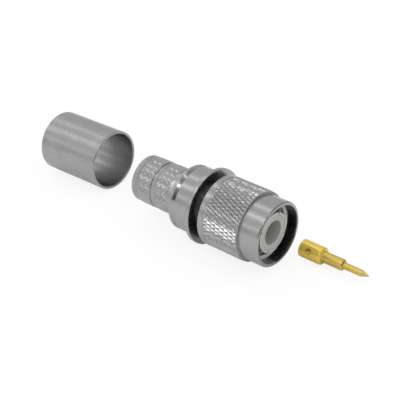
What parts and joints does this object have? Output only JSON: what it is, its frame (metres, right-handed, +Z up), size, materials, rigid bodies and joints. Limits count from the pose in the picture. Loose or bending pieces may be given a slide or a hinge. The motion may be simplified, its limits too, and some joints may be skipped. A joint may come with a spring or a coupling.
{
  "type": "threaded coaxial crimp plug",
  "caption": "Threaded coaxial cable plug with a knurled spinning coupling nut, shown as a crimp set with its tube ferrule and gold pin contact.",
  "frame": {"origin": "on the plug's axis at the reference plane, the bottom of the insulator's front bore, where a mated jack stops", "axes": "+X along the plug's axis towards its mating end, +Z up from the surface that the set lies on, +Y towards the side where the pin contact lies"},
  "size_m": [0.0765, 0.0167, 0.0154],
  "materials": {
    "ferrule_metal": "satin nickel plating",
    "body_metal": "satin nickel plating",
    "contact_metal": "satin nickel plating",
    "insulator_plastic": "waxy fluoropolymer",
    "gasket_rubber": "dark silicone rubber",
    "ring_metal": "spring bronze",
    "nut_metal": "satin nickel plating",
    "pin_gold": "gold plating"
  },
  "bodies": {
    "plug_set": {"rear_body": "body_metal", "outer_contact": "contact_metal", "insulator": "insulator_plastic", "gasket": "gasket_rubber", "crimp_ferrule": "ferrule_metal", "center_contact": "pin_gold"},
    "ring": {"retaining_ring": "ring_metal"},
    "nut": {"coupling_nut": "nut_metal"}
  },
  "joints": [
    {"name": "nut_float", "type": "slide", "parent": "plug_set", "child": "ring", "axis": [1, 0, 0], "range_m": [-0.0003, 0.0003]},
    {"name": "nut_spin", "type": "hinge", "parent": "ring", "child": "nut", "pos_m": [0, 0, 0], "axis": [1, 0, 0], "continuous": true}
  ]
}
